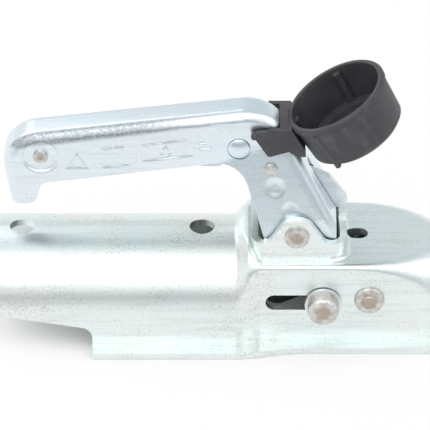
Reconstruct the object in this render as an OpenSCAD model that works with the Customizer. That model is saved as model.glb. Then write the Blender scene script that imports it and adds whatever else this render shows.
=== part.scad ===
// Trailer coupling head for a 50 mm tow ball and a 60 mm draw tube.
// The origin is the centre of the ball. +X points forward, +Z up, and Y = 0 is the plane of symmetry.

/* [Ball and draw tube] */
// Diameter of the tow ball
ball_d = 50; // [49.5:0.1:50.5]
// Gap between the ball and the pressed dome
ball_gap = 0.5; // [0.3:0.1:0.8]
// Width of the draw tube that the sleeve takes
tube_d = 60; // [59:0.5:60.5]
// Diameter of the two mounting bolt holes
bolt_hole_d = 12.5; // [10.5:0.5:14.5]
// Distance between the two mounting bolts
bolt_pitch = 90; // [80:1:92]
// Distance of the front bolt behind the ball
front_bolt_x = 119; // [117:1:122]

/* [Housing] */
// Thickness of the housing sheet
housing_t = 3.5; // [3:0.1:4]
// Distance of the rear end behind the ball
rear_x = 228; // [222:1:240]
// Depth of the flange face below the ball centre
base_drop = 20; // [19:0.5:22]
// Half width over the flange beside the sleeve
flange_rear_w = 40; // [39:0.5:44]
// Width of the flange beyond the front box
flange_front_lip = 6.5; // [5:0.5:8]
// Distance of the rear end of the flange behind the ball
flange_rear_x = 174; // [170:1:180]
// Height of the sleeve's lower edge at the rear end
edge_rear_z = 3.5; // [0:0.5:6]
// Height of the sleeve's lower edge at the flange
edge_front_z = -6.3; // [-8:0.1:-4]
// Distance behind the ball where the sleeve starts to change into the box
blend_rear_x = 103; // [101:1:106]
// Distance behind the ball where the box begins
blend_front_x = 89; // [88:0.5:89]
// Height of the soft hump behind the collar
hump_z = 38; // [36:0.5:39]
// Corner radius along the top of the box
box_corner_r = 2.5; // [2:0.5:4]
// Distance behind the ball where the box starts to round into the dome
dome_rear_x = 55; // [50:1:58]

/* [Collar and ears] */
// Distance of the collar's inner front wall behind the ball
collar_front_x = 50.5; // [50:0.1:51]
// Distance of the collar's inner rear wall behind the ball
collar_rear_x = 91; // [90.5:0.5:92]
// Inner half width of the collar
collar_half = 20.5; // [20.2:0.1:21]
// Outer corner radius of the collar
collar_corner_r = 8; // [6:0.5:9]
// Height of the collar's rim
rim_z = 39.3; // [38.5:0.1:40]
// Radius of the ear round the handle pin
ear_r = 10; // [9:0.5:11]
// Slope of the ear's flanks in degrees
ear_flank = 57; // [52:1:60]
// Radius of the trough beside an ear
trough_r = 5; // [3:0.5:7]
// Depth of the dip in the front rim that lets the lever's fin pass
rim_dip = 3.3; // [3:0.1:4]
// Radius of the fold at the foot of the collar
collar_fillet = 3; // [2:0.5:3.5]

/* [Handle] */
// Thickness of the handle sheet
handle_t = 3; // [2.5:0.1:3.2]
// Distance of the handle pin behind the ball
pin_x = 72; // [71.5:0.1:72.5]
// Height of the handle pin
pin_z = 43.4; // [43:0.1:44]
// Diameter of the handle pin
pin_d = 12.3; // [10:0.1:12.5]
// Half width of the grip
grip_half = 9.5; // [9:0.1:9.8]
// Half width of the fork
fork_half = 19.3; // [18.5:0.1:19.6]
// Radius of the folds between web and side plates
fold_r = 5; // [4:0.5:6]
// Distance of the grip's upper rear corner behind the ball
grip_rear_x = 219; // [214:1:226]
// Height of the grip's upper rear corner
grip_rear_z = 91.7; // [90:0.1:93]
// Rounding of the grip's upper rear corner
grip_rear_r = 18; // [14:1:20]
// Distance of the shoulder corner behind the ball
shoulder_x = 84.8; // [84.4:0.1:85.2]
// Height of the shoulder corner
shoulder_z = 108.2; // [107.5:0.1:109]
// Rounding of the shoulder corner
shoulder_r = 22; // [18:1:24]
// Lean of the front web from upright in degrees
web_lean = 27.8; // [27.4:0.1:28.1]
// Radius of the finger corner under the grip
finger_r = 15; // [12:0.5:16]
// Lift of the handle from closed to open in degrees
handle_travel = 36; // [30:1:36]

/* [Safety lever] */
// Thickness of the safety lever
lever_t = 4; // [3:0.5:5]
// Distance of the safety lever's pin behind the ball
lever_pin_x = 85.2; // [85:0.1:85.6]
// Height of the safety lever's pin
lever_pin_z = 75.9; // [75.5:0.1:76.4]
// Diameter of the safety lever's pin
lever_pin_d = 5; // [4:0.5:6]
// Swing of the safety lever in degrees
lever_travel = 15; // [10:1:15]
// Diameter of the cross rivet's head
cross_head_d = 11; // [9:0.5:12]

/* [Plug holder] */
// Outer diameter of the cup
cup_d = 53; // [50:0.5:54]
// Wall of the cup
cup_wall = 3; // [2.5:0.1:3.5]
// Depth of the cup over its floor
cup_h = 25; // [22:0.5:26]
// Lean of the cup towards the rear in degrees
cup_lean = 29.2; // [28.5:0.1:30]
// Distance of the rear edge of the cup's rim behind the ball
cup_edge_x = 77.4; // [77.2:0.1:77.8]
// Height of the rear edge of the cup's rim
cup_edge_z = 98.4; // [98.2:0.1:98.8]
// Thickness of the clip's arms
clip_t = 2.6; // [2:0.1:3]

/* [Clamp] */
// Distance of the jaw pin behind the ball
jaw_pin_x = 35.6; // [35.3:0.1:36]
// Height of the jaw pin
jaw_pin_z = 8.9; // [8.5:0.1:9.5]
// Diameter of the jaw pin
jaw_pin_d = 10; // [9:0.5:11]
// Swing of the jaw in degrees
jaw_travel = 14; // [10:1:14]
// Wall of the jaw's shoe behind the ball
shoe_wall = 5; // [4.5:0.1:5.5]
// Distance of the slide pin behind the ball when locked
slide_x = 58.7; // [58.5:0.1:59]
// Height of the slide pin
slide_z = 7.1; // [6.8:0.1:7.4]
// Diameter of the slide pin
slide_d = 8.8; // [8:0.1:9]
// Travel of the slide pin from locked to open
slide_travel = 23.9; // [22:0.1:24]
// Thickness of the drive arms
arm_t = 3; // [2:0.5:3]
// Wire of the pull springs
pull_wire = 1.6; // [1.2:0.1:1.8]

/* [Fits] */
// Gap all round a pin that turns in its bore
running_gap = 0.05; // [0.03:0.01:0.1]
// Gap between plates that move past each other
plate_gap = 0.3; // [0.3:0.1:0.5]
// Gap all round a pin in a cam slot
slot_gap = 0.45; // [0.4:0.05:0.6]

/* [Hidden] */
$fn = 64;

base_z = -base_drop;
dome_in = ball_d / 2 + ball_gap;
box_half = dome_in + housing_t;
sleeve_half = tube_d / 2 + housing_t;
flange_front_w = box_half + flange_front_lip;
arc_steps = 10;
cut_over = 1;
zinc = [0.80, 0.84, 0.88];
raw_steel = [0.62, 0.60, 0.58];
black_plastic = [0.13, 0.13, 0.14];

// Smooth ramp from 0 to 1.
function ramp(t) = let (u = min(1, max(0, t))) u * u * (3 - 2 * u);

// Unit vector from a to b.
function unit(a, b) = (b - a) / norm(b - a);

// Outline with rounded corners: each corner is [x, z, radius], and radius 0 keeps one sharp point.
function rounded(c, steps = 8) = [
    for (i = [0 : len(c) - 1])
        let (
            p = [c[i][0], c[i][1]],
            a = [c[(i + len(c) - 1) % len(c)][0], c[(i + len(c) - 1) % len(c)][1]],
            b = [c[(i + 1) % len(c)][0], c[(i + 1) % len(c)][1]],
            u = unit(p, a),
            v = unit(p, b),
            half = acos(u * v) / 2,
            r = c[i][2],
            mid = (u + v) / norm(u + v),
            centre = p + mid * r / sin(half),
            start = p + u * r / tan(half),
            finish = p + v * r / tan(half),
            a0 = atan2(start[1] - centre[1], start[0] - centre[0]),
            a1 = atan2(finish[1] - centre[1], finish[0] - centre[0]),
            turn = a1 - a0 > 180 ? a1 - a0 - 360 : (a1 - a0 < -180 ? a1 - a0 + 360 : a1 - a0)
        )
        each r == 0 ? [p] : [
            for (k = [0 : steps])
                centre + r * [cos(a0 + turn * k / steps), sin(a0 + turn * k / steps)]
        ]
];

// Prism across the part: an outline in X and Z, carried from -half to +half in Y.
module across(half) {
    rotate([90, 0, 0])
        linear_extrude(height = 2 * half, center = true)
            children();
}

// Pin or bore across the part at a place in X and Z.
module cross_pin(x, z, d, half) {
    translate([x, 0, z])
        rotate([90, 0, 0])
            cylinder(d = d, h = 2 * half, center = true);
}

// Skin over rings of points that all have the same count; each cap is a list of convex faces.
module skin(rings, caps = []) {
    count = len(rings[0]);
    last = len(rings) - 1;
    ends = len(caps) > 0 ? caps : [[for (i = [0 : count - 1]) i]];
    polyhedron(
        points = [for (ring = rings) each ring],
        faces = [
            each ends,
            for (k = [0 : last - 1])
                for (i = [0 : count - 1])
                    let (j = (i + 1) % count)
                        each [
                            [k * count + i, (k + 1) * count + j, k * count + j],
                            [k * count + i, (k + 1) * count + i, (k + 1) * count + j]
                        ],
            for (cap = ends) [for (i = [len(cap) - 1 : -1 : 0]) last * count + cap[i]]
        ]
    );
}

// Housing: a pressed shell whose section changes from sleeve to box to dome.

// Right half of a section, from the foot to the crown.
function half_section(half, top, r, foot) = [
    [half, foot],
    for (k = [0 : arc_steps])
        [half - r + r * cos(90 * k / arc_steps), top - r + r * sin(90 * k / arc_steps)]
];

// Whole section, once round.
function whole_section(half, top, r, foot) = let (right = half_section(half, top, r, foot)) [
    each right,
    for (k = [len(right) - 1 : -1 : 0]) [-right[k][0], right[k][1]]
];

// Half width, height and corner radius of the outside at a distance behind the ball.
crown_flat = 0.4;
sleeve_round = sleeve_half - crown_flat;
function shell_at(x) = let (
    blend = ramp((blend_rear_x - x) / (blend_rear_x - blend_front_x)),
    hump = x > blend_front_x ? sin(180 * ramp((blend_rear_x - x) / (blend_rear_x - blend_front_x))) : 0,
    round_up = pow(min(1, max(0, 1 - x / dome_rear_x)), 3.3)
) [
    sleeve_half + (box_half - sleeve_half) * blend,
    sleeve_half + (box_half - sleeve_half) * blend + (hump_z - sleeve_half) * hump,
    sleeve_round + (box_corner_r - sleeve_round) * blend + (box_half - box_corner_r - crown_flat) * round_up
];

stations = [
    rear_x, blend_rear_x,
    for (k = [1 : 5]) blend_rear_x + (blend_front_x - blend_rear_x) * k / 6,
    blend_front_x, dome_rear_x,
    for (k = [1 : 7]) dome_rear_x * pow(1 - k / 7, 1.5)
];

// Loft behind the ball, drawn in by a wall and lengthened at the rear and foot by an overrun.
module shell_loft(wall, over) {
    skin([
        for (x = stations)
            let (
                s = shell_at(x),
                r = max(s[2] - wall, 0.8),
                far = x == rear_x ? x + over : x
            )
            [for (p = whole_section(s[0] - wall, s[1] - wall, r, base_z - over)) [-far, p[0], p[1]]]
    ]);
}

// Front half of the dome over the ball.
module shell_dome(wall, over) {
    s = shell_at(0);
    rotate([0, 0, -90])
        rotate_extrude(angle = 180)
            polygon([
                [0, base_z - over],
                each half_section(s[0] - wall, s[1] - wall, max(s[2] - wall, 0.8), base_z - over),
                [0, s[1] - wall]
            ]);
}

// Half width of the flange's edge at a distance behind the ball.
function flange_at(x) =
    flange_rear_w + (flange_front_w - flange_rear_w) * ramp((101 - x) / 32);

// Out-turned flange, seen from above.
module flange_plan() {
    edge = [for (x = [101 : -4 : 69]) [-x, flange_at(x)]];
    polygon([
        [-flange_rear_x, flange_rear_w],
        each edge,
        [0, flange_front_w],
        [0, -flange_front_w],
        for (k = [len(edge) - 1 : -1 : 0]) [edge[k][0], -edge[k][1]],
        [-flange_rear_x, -flange_rear_w]
    ]);
    circle(r = flange_front_w, $fn = 96);
}

// Region under the rear of the sleeve that the press leaves open.
module sleeve_opening() {
    polygon(rounded([
        [-rear_x - 20, base_z - 10, 0],
        [-rear_x - 20, edge_rear_z + (edge_rear_z - edge_front_z) * 20 / (rear_x - flange_rear_x), 0],
        [-flange_rear_x, edge_front_z, 6],
        [-flange_rear_x, base_z - 10, 0]
    ]));
}

// Rounded rectangle from x0 to x1 along X.
module rounded_box_plan(x0, x1, half, r) {
    translate([x0 + r, -half])
        square([x1 - x0 - 2 * r, 2 * half]);
    translate([x0, -half + r])
        square([x1 - x0, 2 * half - 2 * r]);
    for (x = [x0 + r, x1 - r], y = [-half + r, half - r])
        translate([x, y])
            circle(r = r);
}

// Concave fold along the foot of the collar.
module fold_profile(r) {
    difference() {
        translate([-0.5, -0.5])
            square(r + 0.5);
        translate([r, r])
            circle(r = r);
    }
}

module collar_fold() {
    x1 = -collar_front_x + housing_t;
    half = collar_half + housing_t;
    reach = collar_corner_r;
    translate([x1, 0, box_half])
        rotate([90, 0, 0])
            linear_extrude(height = 2 * (half - reach), center = true)
                fold_profile(collar_fillet);
    for (s = [-1, 1]) {
        translate([x1 - reach, s * (half - reach), box_half])
            rotate([0, 0, s > 0 ? 0 : -90])
                rotate_extrude(angle = 90)
                    translate([reach, 0])
                        fold_profile(collar_fillet);
    }
}

// Side view of the collar with an ear over the handle pin.
module collar_side() {
    apex = pin_z + ear_r / cos(ear_flank);
    reach = (apex - rim_z) / tan(ear_flank);
    polygon(rounded([
        [-pin_x - 30, 15, 0],
        [-pin_x - 30, rim_z, 0],
        [-pin_x - reach, rim_z, trough_r],
        [-pin_x, apex, ear_r],
        [-pin_x + reach, rim_z, trough_r],
        [-pin_x + 30, rim_z, 0],
        [-pin_x + 30, 15, 0]
    ]));
}

module collar_outer() {
    intersection() {
        translate([0, 0, 15])
            linear_extrude(height = 60)
                rounded_box_plan(-collar_rear_x - housing_t, -collar_front_x + housing_t,
                    collar_half + housing_t, collar_corner_r);
        across(40)
            collar_side();
    }
}

slide_slot_half = slide_d / 2 + running_gap;

// Slot through both side plates for the slide pin.
module side_slot() {
    rear = -slide_x - slide_travel - plate_gap;
    front = -slide_x + plate_gap;
    cross_pin(rear, slide_z, 2 * slide_slot_half, 40);
    cross_pin(front, slide_z, 2 * slide_slot_half, 40);
    translate([rear, -40, slide_z - slide_slot_half])
        cube([front - rear, 80, 2 * slide_slot_half]);
}

// Slotted hole in the roof, partly under the collar's front wall.
roof_slot_x = 35.7;
module roof_slot() {
    slot_w = 8.8;
    front = -roof_slot_x - slot_w / 2;
    rear = -collar_front_x + housing_t + slot_w / 2 + 0.5;
    for (x = [front, rear])
        translate([x, 0, 15])
            cylinder(d = slot_w, h = 30);
    translate([rear, -slot_w / 2, 15])
        cube([front - rear, slot_w, 30]);
}

module housing() {
    color(zinc)
        difference() {
            union() {
                shell_loft(0, 0);
                shell_dome(0, 0);
                translate([0, 0, base_z])
                    linear_extrude(height = housing_t)
                        flange_plan();
                collar_outer();
                collar_fold();
            }
            shell_loft(housing_t, cut_over);
            shell_dome(housing_t, cut_over);
            across(60)
                sleeve_opening();
            translate([0, 0, 5])
                linear_extrude(height = 60)
                    rounded_box_plan(-collar_rear_x, -collar_front_x,
                        collar_half, collar_corner_r - housing_t);
            for (x = [front_bolt_x, front_bolt_x + bolt_pitch])
                translate([-x, 0, 10])
                    cylinder(d = bolt_hole_d, h = 40);
            cross_pin(-pin_x, pin_z, pin_d + 2 * running_gap, 40);
            cross_pin(-jaw_pin_x, jaw_pin_z, jaw_pin_d, 40);
            side_slot();
            roof_slot();
            translate([-collar_front_x - 2, -lever_t / 2 - 2, rim_z - rim_dip])
                cube([housing_t + 4, lever_t + 4, 10]);
        }
}

// Handle: a pressed channel that flares from the grip into the fork.

grip_slope = (shoulder_z - grip_rear_z) / (grip_rear_x - shoulder_x);
web_run = tan(web_lean);

// Front face of the web at a height.
function web_x(z) = -shoulder_x + (shoulder_z - z) * web_run;

// The flare lies between two parallel bend lines; distance is counted square to them.
bend_from = [-113, 77];
bend_to = [web_x(91.9), 91.9];
bend_dir = unit(bend_from, bend_to);
bend_out = [bend_dir[1], -bend_dir[0]];
flare_len = 44;

function flare_at(p) = (p - bend_from) * bend_out;

// Outer half width of the handle's side plate at a point of the side view.
function handle_half(p) =
    grip_half + (fork_half - grip_half) * min(1, max(0, flare_at(p) / flare_len));

// Point on a bend line: how far beyond the first line, and how far along it.
function on_bend(out, along) = bend_from + bend_out * out + bend_dir * along;

// Point where the front web, drawn in by an inset, crosses a bend line.
function web_on_bend(out, inset) = let (
    w = [sin(web_lean), -cos(web_lean)],
    n = [cos(web_lean), sin(web_lean)],
    start = [-shoulder_x, shoulder_z] - n * inset,
    need = (out - flare_at(start)) / (w * bend_out)
) start + w * need;

// Top edge of the grip, moved inwards by an inset, at an x.
function grip_top(x, inset) =
    grip_rear_z + (x + grip_rear_x) * grip_slope - inset * sqrt(1 + grip_slope * grip_slope);

// Rear edge of the grip, drawn in by an inset, at a height.
left_lean = 0.152;
function left_x(z, inset) =
    -grip_rear_x + (grip_rear_z - z) * left_lean + inset * sqrt(1 + left_lean * left_lean);

// Shoulder corner drawn in by an inset: the top edge meets the front web.
function web_top(inset) = let (
    u = [1, grip_slope] / norm([1, grip_slope]),
    n = [cos(web_lean), sin(web_lean)],
    a = [-shoulder_x, shoulder_z] - [-u[1], u[0]] * inset,
    b = [-shoulder_x, shoulder_z] - n * inset
) a + u * ((b - a) * n) / (u * n);

// Rear corner drawn in by an inset: the rear edge meets the top edge.
function rear_corner(inset) = let (
    x = (left_x(grip_rear_z, inset) + left_lean * (grip_rear_z - grip_top(0, inset)))
        / (1 + left_lean * grip_slope)
) [x, grip_top(x, inset)];

// Side view of the fold edges drawn in by an inset; its open side lies well outside the handle.
bend_reach = 60;
fork_len = 34;
corner_steps = 8;
function folded_side(inset) = rounded([
    [left_x(40, inset), 40, 0],
    [each rear_corner(inset), max(grip_rear_r - inset, 1)],
    [each web_top(inset), max(shoulder_r - inset, 1)],
    [each web_on_bend(0, inset), 0],
    [each web_on_bend(flare_len, inset), 0],
    [each web_on_bend(flare_len + fork_len, inset), 0],
    [each on_bend(flare_len + fork_len, -bend_reach), 0],
    [each on_bend(flare_len, -bend_reach), 0],
    [each on_bend(0, -bend_reach), 0]
], corner_steps);

// The side plate is flat in three stretches: the grip, the flare and the fork.
bend_point = 2 * corner_steps + 3;
side_faces = [
    [for (i = [0 : bend_point]) i, bend_point + 5],
    [bend_point + 5, bend_point, bend_point + 1, bend_point + 4],
    [bend_point + 4, bend_point + 1, bend_point + 2, bend_point + 3]
];

// Closed form of the handle with rounded folds, drawn in by a wall.
fold_steps = 5;
module handle_form(wall) {
    r = fold_r - wall;
    angles = [for (k = [0 : fold_steps]) 90 * k / fold_steps];
    insets = [for (a = angles) wall + r * (1 - sin(a))];
    drops = [for (a = angles) wall + r * (1 - cos(a))];
    skin([
        for (k = [0 : fold_steps])
            [for (p = folded_side(insets[k])) [p[0], -(handle_half(p) - drops[k]), p[1]]],
        for (k = [fold_steps : -1 : 0])
            [for (p = folded_side(insets[k])) [p[0], handle_half(p) - drops[k], p[1]]]
    ], side_faces);
}

// Side view of the whole handle.
nose_z = 53.8;
under_rise = 0.137;
under_ref = [-198, 65.9];
leg_lean = 0.298;
leg_ref = [-95.8, 65];
function under_z(x) = under_ref[1] + (x - under_ref[0]) * under_rise;
function leg_x(z) = leg_ref[0] - (z - leg_ref[1]) * leg_lean;
finger_x = (leg_ref[0] - leg_lean * (under_ref[1] - leg_ref[1] - under_ref[0] * under_rise))
    / (1 + leg_lean * under_rise);

// The fork's front edge stands upright below this height, so that it swings past the collar's front wall.
fork_front_x = -52.4;
fork_top_z = shoulder_z - (shoulder_x + fork_front_x) / web_run + 1.4;
function handle_side() = rounded([
    [left_x(nose_z, -0.5), nose_z, 6.5],
    [left_x(100, -30), 100, 0],
    [-shoulder_x - 40, shoulder_z + 20, 0],
    [-shoulder_x + 60, shoulder_z + 20, 0],
    [-shoulder_x + 60, fork_top_z, 0],
    [fork_front_x, fork_top_z, 0],
    [fork_front_x, 37.4, 1.5],
    [-pin_x + 15, 36.3, 2.5],
    [-pin_x + 10.5, pin_z - 4, 3],
    [-pin_x + 9, pin_z - 12, 8],
    [-pin_x - 9, pin_z - 12, 8],
    [-pin_x - 9.5, pin_z - 1, 3],
    [leg_x(37.3), 37.3, 2.5],
    [finger_x, under_z(finger_x), finger_r],
    [under_ref[0], under_ref[1], 3.5],
    [under_ref[0] - 3.5, nose_z, 5.5]
]);

web_slot_w = lever_t + 2 * plate_gap + 0.6;

module handle() {
    color(zinc)
        difference() {
            intersection() {
                handle_form(0);
                across(40)
                    polygon(handle_side());
            }
            handle_form(handle_t);
            cross_pin(-pin_x, pin_z, pin_d + 2 * running_gap, 40);
            cross_pin(-lever_pin_x, lever_pin_z, lever_pin_d, 40);
            cross_pin(cross_at[0], cross_at[1], cross_shank_d, 40);
            for (s = [-1, 1])
                translate([cross_at[0], s * (cross_seat + 5), cross_at[1]])
                    rotate([90, 0, 0])
                        cylinder(d = cross_head_d + 1, h = 10, center = true);
            cross_pin(grip_rivet_at[0], grip_rivet_at[1], grip_rivet_d, 40);
            translate([web_x(74) - 8, -web_slot_w / 2, 38])
                cube([40, web_slot_w, 36]);
        }
}

// Rivet across the part with a domed head at each end.
module domed_rivet(x, z, shank, head, grip, rise) {
    translate([x, 0, z])
        rotate([90, 0, 0])
            rotate_extrude()
                difference() {
                    union() {
                        translate([0, -grip - 0.5])
                            square([shank / 2, 2 * grip + 1]);
                        for (s = [-1, 1])
                            translate([0, s > 0 ? grip : -grip - rise])
                                square([head / 2, rise]);
                    }
                    for (s = [-1, 1])
                        translate([0, s * (grip + rise)])
                            difference() {
                                translate([0, s > 0 ? -rise * 0.7 : -rise * 0.3])
                                    square([head, rise]);
                                translate([0, -s * dome_radius(head, rise * 0.6)])
                                    circle(r = dome_radius(head, rise * 0.6), $fn = 128);
                            }
                    translate([-head, -grip - 2 * rise])
                        square([head, 2 * grip + 4 * rise]);
                }
}

// Radius of a dome that rises by a height over a diameter.
function dome_radius(d, h) = (d * d / 4 + h * h) / (2 * h);

module handle_pin() {
    color(raw_steel)
        domed_rivet(-pin_x, pin_z, pin_d, pin_d - 0.01, collar_half + housing_t, 2);
}

cross_at = [-100.7, 86.2];
cross_shank_d = 7;
// The rivet's heads sit on flats cut this far into the middle of the sloping plates.
cross_seat = handle_half(cross_at) - 0.7;
module cross_rivet() {
    color(zinc)
        domed_rivet(cross_at[0], cross_at[1], cross_shank_d, cross_head_d, cross_seat, 2.4);
}

grip_rivet_at = [-198, 81.5];
grip_rivet_d = 7.3;
module grip_rivet() {
    color(zinc)
        domed_rivet(grip_rivet_at[0], grip_rivet_at[1], grip_rivet_d, grip_rivet_d - 0.01, grip_half, 1);
}

// Safety lever: trigger under the grip, and a fin that passes the web and stops on the collar.
lever_pivot = [-lever_pin_x, lever_pin_z];
spring_seat_z = 85.5;
function swung(p, a) = lever_pivot + [
    (p - lever_pivot)[0] * cos(a) - (p - lever_pivot)[1] * sin(a),
    (p - lever_pivot)[0] * sin(a) + (p - lever_pivot)[1] * cos(a)
];

// Window in which the cross rivet stops the lever.
module lever_window() {
    d = cross_shank_d + 2 * slot_gap;
    low = swung(cross_at, lever_travel);
    side = [cross_at[1] - low[1], low[0] - cross_at[0]] / norm(cross_at - low) * d / 2;
    cross_pin(cross_at[0], cross_at[1], d, 10);
    cross_pin(low[0], low[1], d, 10);
    across(10)
        polygon([cross_at + side, low + side, low - side, cross_at - side]);
}

module safety_lever() {
    color(zinc)
        difference() {
            across(lever_t / 2)
                polygon(rounded([
                    [-118.5, spring_seat_z, 2],
                    [-121, 76, 0],
                    [-120, 71, 1.5],
                    [-109.5, 71, 1.5],
                    [-108, 76.4, 2],
                    [-100, 76.4, 4],
                    [-92, 76, 4],
                    [-88, 67, 4],
                    [-76, 64, 6],
                    [-63, 57.5, 5],
                    [-55.2, 46.5, 2],
                    [-51.5, 46.4, 1],
                    [-46.5, 49.5, 1.5],
                    [-47, 51.9, 1.5],
                    [-55.5, 64.1, 4],
                    [-66.5, 69.5, 4],
                    [-77.5, 79.5, 6],
                    [-85, 86, 6],
                    [-95, 93, 5],
                    [-106, 93.5, 3],
                    [-107.5, spring_seat_z, 1]
                ]));
            cross_pin(-lever_pin_x, lever_pin_z, lever_pin_d + 2 * running_gap, 10);
            lever_window();
        }
}

module safety_pin() {
    color(zinc)
        domed_rivet(-lever_pin_x, lever_pin_z, lever_pin_d, 6.7,
            handle_half([-lever_pin_x, lever_pin_z]) + 0.8, 0.8);
}

arm_inner = 4.5;
module tube_pair(x, z, bore, outside, y0, y1) {
    for (s = [-1, 1])
        translate([x, s > 0 ? y0 : -y1, z])
            rotate([-90, 0, 0])
                difference() {
                    cylinder(d = outside, h = y1 - y0);
                    translate([0, 0, -1])
                        cylinder(d = bore, h = y1 - y0 + 2);
                }
}

module lever_spacers() {
    color(raw_steel)
        tube_pair(-lever_pin_x, lever_pin_z, lever_pin_d + 2 * running_gap, lever_pin_d + 4,
            lever_t / 2 + plate_gap, arm_inner);
}

// Round wire along a list of points, with a parallel frame carried along it.
function wire_rings(pts, r, sides) = let (
    n = len(pts),
    tan_at = [for (i = [0 : n - 1]) unit(pts[max(i - 1, 0)], pts[min(i + 1, n - 1)])],
    first = let (c = cross(tan_at[0], [0, 1, 0.3])) c / norm(c),
    across_at = [
        for (i = 0, v = first; i < n; i = i + 1, v = i < n ? turned(v, tan_at[i]) : v) v
    ]
) [
    for (i = [0 : n - 1])
        let (u = across_at[i], w = cross(tan_at[i], u))
            [for (k = [0 : sides - 1]) pts[i] + r * (cos(360 * k / sides) * u + sin(360 * k / sides) * w)]
];

// A vector made square to a direction.
function turned(v, t) = let (w = v - t * (v * t)) w / norm(w);

module wire(pts, r, sides = 7) {
    skin(wire_rings(pts, r, sides));
}

// Compression spring between the trigger and the roof of the grip.
spring_x = 112;
spring_r = 3.6;
spring_wire = 0.55;
spring_foot = spring_seat_z + spring_wire + 0.05;
spring_top = grip_top(-spring_x, handle_t) - spring_wire - 0.5;
module safety_spring() {
    turns = 6;
    steps = 12;
    color(raw_steel)
        wire([
            for (k = [0 : turns * steps])
                let (t = k / (turns * steps))
                    [-spring_x + spring_r * cos(360 * turns * t), spring_r * sin(360 * turns * t),
                        spring_foot + (spring_top - spring_foot) * t]
        ], spring_wire, 6);
}

// Plug holder: a cup for the trailer plug, with a clip over the shoulder of the handle.
module cup_profile() {
    r = cup_d / 2;
    bottom = r - 2;
    difference() {
        polygon([
            [0, -cup_h],
            [bottom - 2, -cup_h],
            [bottom, -cup_h + 2],
            [r - 0.8, -3.5],
            [r, -2.8],
            [r, -0.8],
            [r - 0.8, 0],
            [0, 0]
        ]);
        polygon([
            [-1, -cup_h + 2.5],
            [bottom - cup_wall, -cup_h + 2.5],
            [r - cup_wall, -1],
            [r - cup_wall + 0.6, 0.5],
            [-1, 0.5]
        ]);
    }
}

// Key rib on the cup's inner wall and a ledge on its floor, which turn the plug the right way.
key_w = 4;
key_rise = 1.6;
ledge = [8, 14, 3.2];
module cup() {
    rotate_extrude($fn = 96)
        cup_profile();
    rotate([0, 0, 180])
        translate([cup_d / 2 - cup_wall - key_rise, -key_w / 2, -cup_h + 1])
            cube([key_rise + 1, key_w, cup_h - 4]);
    translate([-ledge[0] - 1, -ledge[1] / 2, -cup_h + 1])
        cube(ledge);
}

// The cup grows away from the clip, so the rear edge of its rim stays where the clip holds it.
module at_cup() {
    translate([-cup_edge_x, 0, cup_edge_z])
        rotate([0, -cup_lean, 0])
            translate([cup_d / 2, 0, 0])
                children();
}

clip_in = handle_half([-77, 86.8]) + 0.35;
clip_half = clip_in + clip_t;
clip_gap = 0.2;
// The clip reaches this far below the cup's floor.
clip_drop = 12;
module clip_arm_side() {
    polygon(rounded([
        [-95, 97.6, 2.2],
        [-86.4, 83.8, 1.6],
        [web_x(85) + 2.5, 89, 0],
        [web_x(99.5) + 5, 99.5, 0]
    ]));
}

module plug_holder() {
    n = [cos(web_lean), sin(web_lean)];
    color(black_plastic)
        difference() {
            union() {
                at_cup()
                    cup();
                intersection() {
                    across(clip_half)
                        union() {
                            clip_arm_side();
                            polygon([
                                [web_x(84) + clip_gap, 84],
                                [web_x(84) + 4, 84],
                                [web_x(88) + 5.5, 88],
                                [web_x(99.5) + 5, 99.5],
                                [web_x(99.5) - 6, 99.5],
                                [web_x(88) - 4, 88]
                            ]);
                        }
                    at_cup()
                        translate([0, 0, -cup_h - clip_drop])
                            difference() {
                                translate([-cup_d, -cup_d, 0])
                                    cube([2 * cup_d, 2 * cup_d, 2 * cup_h]);
                                translate([0, 0, clip_drop - 7])
                                    cylinder(r = cup_d / 2 - cup_wall / 2 + 0.3, h = 3 * cup_h);
                            }
                }
            }
            intersection() {
                handle_shadow(clip_gap);
                across(clip_in)
                    translate([-130, 60])
                        square([100, 60]);
            }
        }
}

// Solid that the handle's outside fills, grown by a gap, seen from the side.
module handle_shadow(gap) {
    across(clip_in)
        polygon(folded_side(-gap));
}

// Centre of a follower in the frame of a lever that turns about a pivot while the follower slides.
function follower(pivot, turn, f) = let (
    p = [-slide_x - slide_travel * f, slide_z] - pivot,
    a = turn * f
) pivot + [p[0] * cos(a) - p[1] * sin(a), p[0] * sin(a) + p[1] * cos(a)];

// Straight edges lie this much inside the tangents of the round ends that they meet.
edge_tuck = 0.05;

// Slot that the slide pin sweeps in a lever.
module cam_slot(pivot, turn, half) {
    steps = 8;
    r = slide_d / 2 + slot_gap;
    mid = [for (k = [0 : steps]) follower(pivot, turn, k / steps)];
    side = [
        for (k = [0 : steps])
            let (u = unit(mid[max(k - 1, 0)], mid[min(k + 1, steps)])) [-u[1], u[0]]
    ];
    across(half)
        polygon([
            for (k = [0 : steps]) mid[k] + side[k] * (r - edge_tuck),
            for (k = [steps : -1 : 0]) mid[k] - side[k] * (r - edge_tuck)
        ]);
    cross_pin(mid[0][0], mid[0][1], 2 * r, half);
    cross_pin(mid[steps][0], mid[steps][1], 2 * r, half);
}

handle_pivot = [-pin_x, pin_z];
jaw_pivot = [-jaw_pin_x, jaw_pin_z];

// Outline of a bar with round ends.
module bar(a, b, ra, rb) {
    d = norm(b - a);
    lean = atan2(b[1] - a[1], b[0] - a[0]);
    s = asin((ra - rb) / d);
    ia = ra - edge_tuck;
    ib = rb - edge_tuck;
    translate(a)
        circle(r = ra);
    translate(b)
        circle(r = rb);
    polygon([
        a + ia * [cos(lean + 90 - s), sin(lean + 90 - s)],
        b + ib * [cos(lean + 90 - s), sin(lean + 90 - s)],
        b + ib * [cos(lean - 90 + s), sin(lean - 90 + s)],
        a + ia * [cos(lean - 90 + s), sin(lean - 90 + s)]
    ]);
}

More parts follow.
